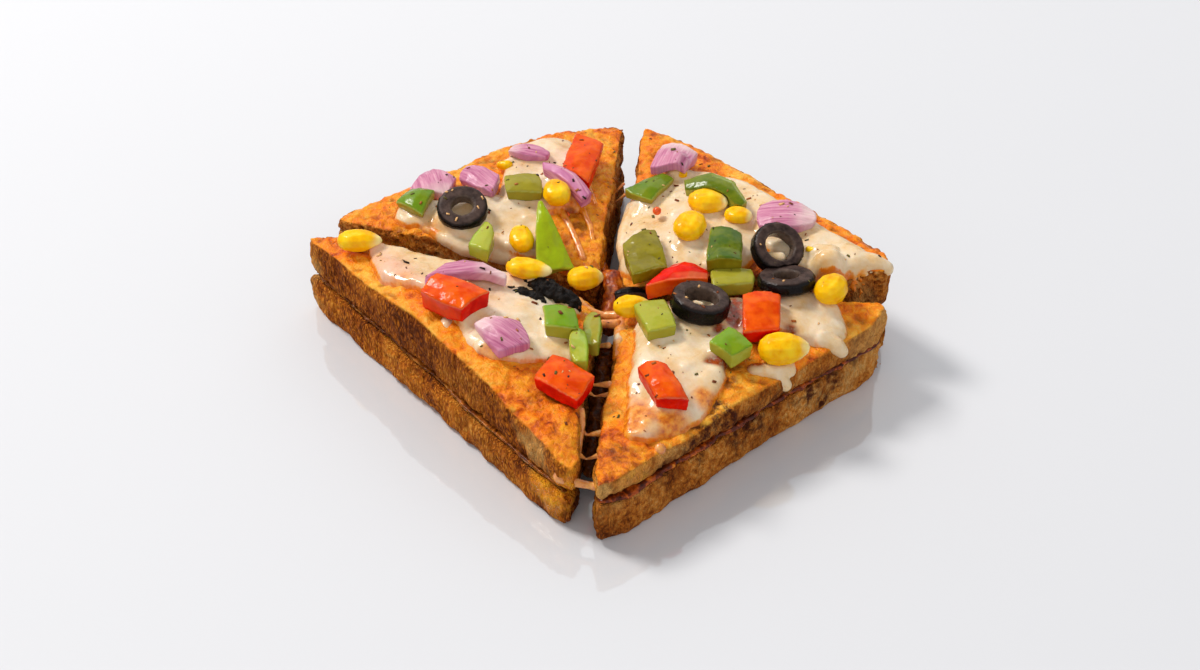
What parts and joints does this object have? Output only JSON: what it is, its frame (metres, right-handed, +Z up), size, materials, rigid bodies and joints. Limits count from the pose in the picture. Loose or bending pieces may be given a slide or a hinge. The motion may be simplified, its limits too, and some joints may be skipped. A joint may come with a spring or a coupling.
{
  "type": "pizza toast",
  "caption": "Square toasted sandwich with melted cheese, olive, tomato, green pepper, onion and sweetcorn on top, cut into triangular wedges that still lie together.",
  "frame": {"origin": "middle of the toast's footprint on the floor", "axes": "+X along the front crust, +Y towards the back crust, +Z up"},
  "size_m": [0.1168, 0.105, 0.0328],
  "materials": {
    "bread": "matte, toasted",
    "filling": "glossy, melted",
    "cheese": "soft gloss, melted",
    "olive": "glossy",
    "tomato": "glossy, wet",
    "pepper": "glossy",
    "onion": "satin, translucent",
    "corn": "glossy"
  },
  "bodies": {
    "root": {"back_left_cheese": "cheese", "back_left_filling": "filling", "back_left_slice_lower": "bread", "back_left_slice_upper": "bread", "back_right_cheese": "cheese", "back_right_filling": "filling", "back_right_slice_lower": "bread", "back_right_slice_upper": "bread", "corn_1": "corn", "corn_10": "corn", "corn_11": "corn", "corn_2": "corn", "corn_3": "corn", "corn_4": "corn", "corn_5": "corn", "corn_6": "corn", "corn_7": "corn", "corn_8": "corn", "corn_9": "corn", "front_left_cheese": "cheese", "front_left_filling": "filling", "front_left_slice_lower": "bread", "front_left_slice_upper": "bread", "front_right_cheese": "cheese", "front_right_filling": "filling", "front_right_slice_lower": "bread", "front_right_slice_upper": "bread", "olive_1": "olive", "olive_2": "olive", "olive_3": "olive", "olive_4": "olive", "olive_5": "olive", "onion_1": "onion", "onion_2": "onion", "onion_3": "onion", "onion_4": "onion", "onion_5": "onion", "onion_6": "onion", "onion_7": "onion", "onion_8": "onion", "pepper_1": "pepper", "pepper_10": "pepper", "pepper_11": "pepper", "pepper_12": "pepper", "pepper_13": "pepper", "pepper_14": "pepper", "pepper_2": "pepper", "pepper_3": "pepper", "pepper_4": "pepper", "pepper_5": "pepper", "pepper_6": "pepper", "pepper_7": "pepper", "pepper_8": "pepper", "pepper_9": "pepper", "tomato_1": "tomato", "tomato_2": "tomato", "tomato_3": "tomato", "tomato_4": "tomato", "tomato_5": "tomato", "tomato_6": "tomato"}
  },
  "joints": []
}
